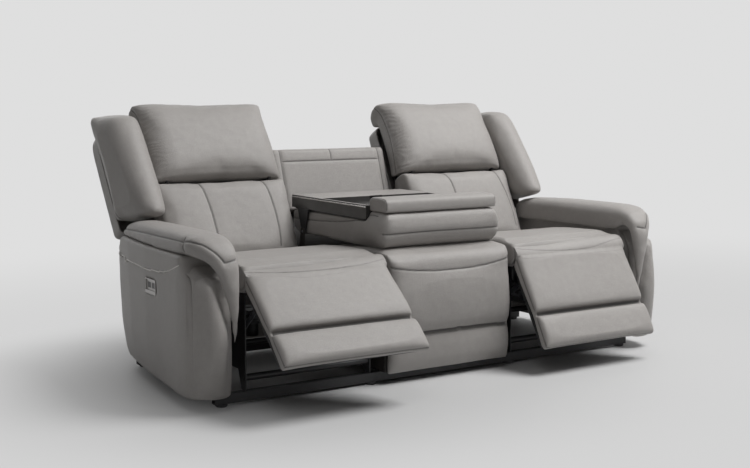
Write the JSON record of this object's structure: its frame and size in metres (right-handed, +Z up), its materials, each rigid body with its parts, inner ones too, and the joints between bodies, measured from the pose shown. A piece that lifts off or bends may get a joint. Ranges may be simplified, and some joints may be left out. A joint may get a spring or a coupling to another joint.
{
  "type": "power reclining sofa",
  "caption": "Upholstered sofa whose end seats recline on link mechanisms with leg rests and tilting head rests, with a middle back that folds down as a table",
  "frame": {"origin": "centre of the overall box on the floor, with both leg rests part open as pictured", "axes": "+X runs along the sofa to a viewer's right, -Y is the front that the sitters face, +Z is up"},
  "size_m": [2.2, 1.4282, 1.0607],
  "materials": {
    "leather_grey": "warm mid grey semi-matt grained leather",
    "steel_black": "satin black powder coat on pressed steel",
    "steel_zinc": "bright zinc plate",
    "plastic_dark": "fine textured dark grey plastic",
    "plastic_tray": "smooth moulded grey plastic",
    "metal_silver": "silver satin bezel",
    "timber": "bare frame timber and board"
  },
  "bodies": {
    "base": {"floor_rails": "steel_black", "floor_glides": "plastic_dark", "mechanism_plates": "steel_black", "cross_tubes": "steel_black", "pivot_pins": "steel_zinc", "seat_decks": "steel_black", "recline_actuators": "plastic_dark", "power_box": "plastic_dark", "rear_panel": "leather_grey", "left_arm_box": "leather_grey", "right_arm_box": "leather_grey", "left_arm_front": "leather_grey", "right_arm_front": "leather_grey", "left_arm_pad": "leather_grey", "right_arm_pad": "leather_grey", "left_control_plate": "metal_silver", "right_control_plate": "metal_silver", "left_seat_cushion": "leather_grey", "middle_seat_cushion": "leather_grey", "right_seat_cushion": "leather_grey", "middle_seat_box": "timber", "middle_front_pad": "leather_grey", "middle_back_frame": "timber", "middle_back_pad": "leather_grey"},
    "left_legrest": {"left_legrest_frame": "steel_black", "left_legrest_pad": "leather_grey"},
    "left_crank": {"left_legrest_crank": "steel_black"},
    "left_link": {"left_legrest_links": "steel_zinc"},
    "left_leg_rod": {"left_legrest_rod": "steel_zinc"},
    "left_back": {"left_back_frame": "steel_black", "left_back_cushion": "leather_grey", "left_wing": "leather_grey", "left_back_shell": "leather_grey", "left_headrest_actuator": "plastic_dark"},
    "left_headrest": {"left_headrest_frame": "steel_black", "left_head_pillow": "leather_grey"},
    "left_head_rod": {"left_headrest_rod": "steel_zinc"},
    "left_back_rod": {"left_back_rod": "steel_zinc"},
    "left_recline_key": {"left_recline_key": "plastic_dark"},
    "left_headrest_key": {"left_headrest_key": "plastic_dark"},
    "right_legrest": {"right_legrest_frame": "steel_black", "right_legrest_pad": "leather_grey"},
    "right_crank": {"right_legrest_crank": "steel_black"},
    "right_link": {"right_legrest_links": "steel_zinc"},
    "right_leg_rod": {"right_legrest_rod": "steel_zinc"},
    "right_back": {"right_back_frame": "steel_black", "right_back_cushion": "leather_grey", "right_wing": "leather_grey", "right_back_shell": "leather_grey", "right_headrest_actuator": "plastic_dark"},
    "right_headrest": {"right_headrest_frame": "steel_black", "right_head_pillow": "leather_grey"},
    "right_head_rod": {"right_headrest_rod": "steel_zinc"},
    "right_back_rod": {"right_back_rod": "steel_zinc"},
    "right_recline_key": {"right_recline_key": "plastic_dark"},
    "right_headrest_key": {"right_headrest_key": "plastic_dark"},
    "table": {"table_frame": "steel_black", "table_cushion": "leather_grey", "table_tray": "plastic_tray", "table_cap": "leather_grey"}
  },
  "joints": [
    {"name": "left_legrest_hinge", "type": "hinge", "parent": "base", "child": "left_legrest", "pos_m": [-0.6005, -0.36868, 0.454], "axis": [-1, 0, 0], "range_deg": [-49, 41]},
    {"name": "left_crank_hinge", "type": "hinge", "parent": "base", "child": "left_crank", "pos_m": [-0.6005, -0.13868, 0.264], "axis": [-1, 0, 0], "range_deg": [-49, 41]},
    {"name": "left_link_hinge", "type": "hinge", "parent": "left_crank", "child": "left_link", "pos_m": [-0.6005, -0.20713, 0.17535], "axis": [-1, 0, 0], "range_deg": [-41, 49]},
    {"name": "left_leg_rod_slide", "type": "slide", "parent": "base", "child": "left_leg_rod", "axis": [0, -1, 0], "range_m": [-0.04027, 0.03377]},
    {"name": "left_back_hinge", "type": "hinge", "parent": "base", "child": "left_back", "pos_m": [-0.6005, 0.28532, 0.4], "axis": [-1, 0, 0], "range_deg": [-10.5, 27]},
    {"name": "left_headrest_hinge", "type": "hinge", "parent": "left_back", "child": "left_headrest", "pos_m": [-0.6005, 0.4223, 0.74282], "axis": [1, 0, 0], "range_deg": [0, 30]},
    {"name": "left_head_rod_slide", "type": "slide", "parent": "left_back", "child": "left_head_rod", "axis": [0, 0.4695, 0.8829], "range_m": [-0.0005, 0.0627]},
    {"name": "left_back_rod_slide", "type": "slide", "parent": "base", "child": "left_back_rod", "axis": [0, -1, 0], "range_m": [-0.01133, 0.02835]},
    {"name": "left_recline_key_hinge", "type": "hinge", "parent": "base", "child": "left_recline_key", "pos_m": [-1.0846, -0.06468, 0.405], "axis": [0, 0, 1], "range_deg": [-6, 6], "stiffness_Nm_per_rad": 0.3},
    {"name": "left_headrest_key_hinge", "type": "hinge", "parent": "base", "child": "left_headrest_key", "pos_m": [-1.0846, -0.02668, 0.405], "axis": [0, 0, 1], "range_deg": [-6, 6], "stiffness_Nm_per_rad": 0.3},
    {"name": "right_legrest_hinge", "type": "hinge", "parent": "base", "child": "right_legrest", "pos_m": [0.6005, -0.36868, 0.454], "axis": [-1, 0, 0], "range_deg": [-31, 59]},
    {"name": "right_crank_hinge", "type": "hinge", "parent": "base", "child": "right_crank", "pos_m": [0.6005, -0.13868, 0.264], "axis": [-1, 0, 0], "range_deg": [-31, 59]},
    {"name": "right_link_hinge", "type": "hinge", "parent": "right_crank", "child": "right_link", "pos_m": [0.6005, -0.17638, 0.15854], "axis": [-1, 0, 0], "range_deg": [-59, 31]},
    {"name": "right_leg_rod_slide", "type": "slide", "parent": "base", "child": "right_leg_rod", "axis": [0, -1, 0], "range_m": [-0.02566, 0.04838]},
    {"name": "right_back_hinge", "type": "hinge", "parent": "base", "child": "right_back", "pos_m": [0.6005, 0.28532, 0.4], "axis": [-1, 0, 0], "range_deg": [-10.5, 27]},
    {"name": "right_headrest_hinge", "type": "hinge", "parent": "right_back", "child": "right_headrest", "pos_m": [0.6005, 0.4223, 0.74282], "axis": [1, 0, 0], "range_deg": [0, 30]},
    {"name": "right_head_rod_slide", "type": "slide", "parent": "right_back", "child": "right_head_rod", "axis": [0, 0.4695, 0.8829], "range_m": [-0.0005, 0.0627]},
    {"name": "right_back_rod_slide", "type": "slide", "parent": "base", "child": "right_back_rod", "axis": [0, -1, 0], "range_m": [-0.01133, 0.02835]},
    {"name": "right_recline_key_hinge", "type": "hinge", "parent": "base", "child": "right_recline_key", "pos_m": [1.0846, -0.06468, 0.405], "axis": [0, 0, -1], "range_deg": [-6, 6], "stiffness_Nm_per_rad": 0.3},
    {"name": "right_headrest_key_hinge", "type": "hinge", "parent": "base", "child": "right_headrest_key", "pos_m": [1.0846, -0.02668, 0.405], "axis": [0, 0, -1], "range_deg": [-6, 6], "stiffness_Nm_per_rad": 0.3},
    {"name": "table_hinge", "type": "hinge", "parent": "base", "child": "table", "pos_m": [0, 0.26432, 0.524], "axis": [-1, 0, 0], "range_deg": [0, 108]}
  ],
  "couplings": [
    {"joint": "left_crank_hinge", "follows": "left_legrest_hinge", "ratio": 1},
    {"joint": "left_link_hinge", "follows": "left_legrest_hinge", "ratio": -1},
    {"joint": "left_leg_rod_slide", "follows": "left_legrest_hinge", "m_per_rad": 0.0465},
    {"joint": "left_back_rod_slide", "follows": "left_back_hinge", "m_per_rad": 0.0591},
    {"joint": "left_head_rod_slide", "follows": "left_headrest_hinge", "m_per_rad": 0.11863},
    {"joint": "right_crank_hinge", "follows": "right_legrest_hinge", "ratio": 1},
    {"joint": "right_link_hinge", "follows": "right_legrest_hinge", "ratio": -1},
    {"joint": "right_leg_rod_slide", "follows": "right_legrest_hinge", "m_per_rad": 0.0465},
    {"joint": "right_back_rod_slide", "follows": "right_back_hinge", "m_per_rad": 0.0591},
    {"joint": "right_head_rod_slide", "follows": "right_headrest_hinge", "m_per_rad": 0.11863}
  ]
}
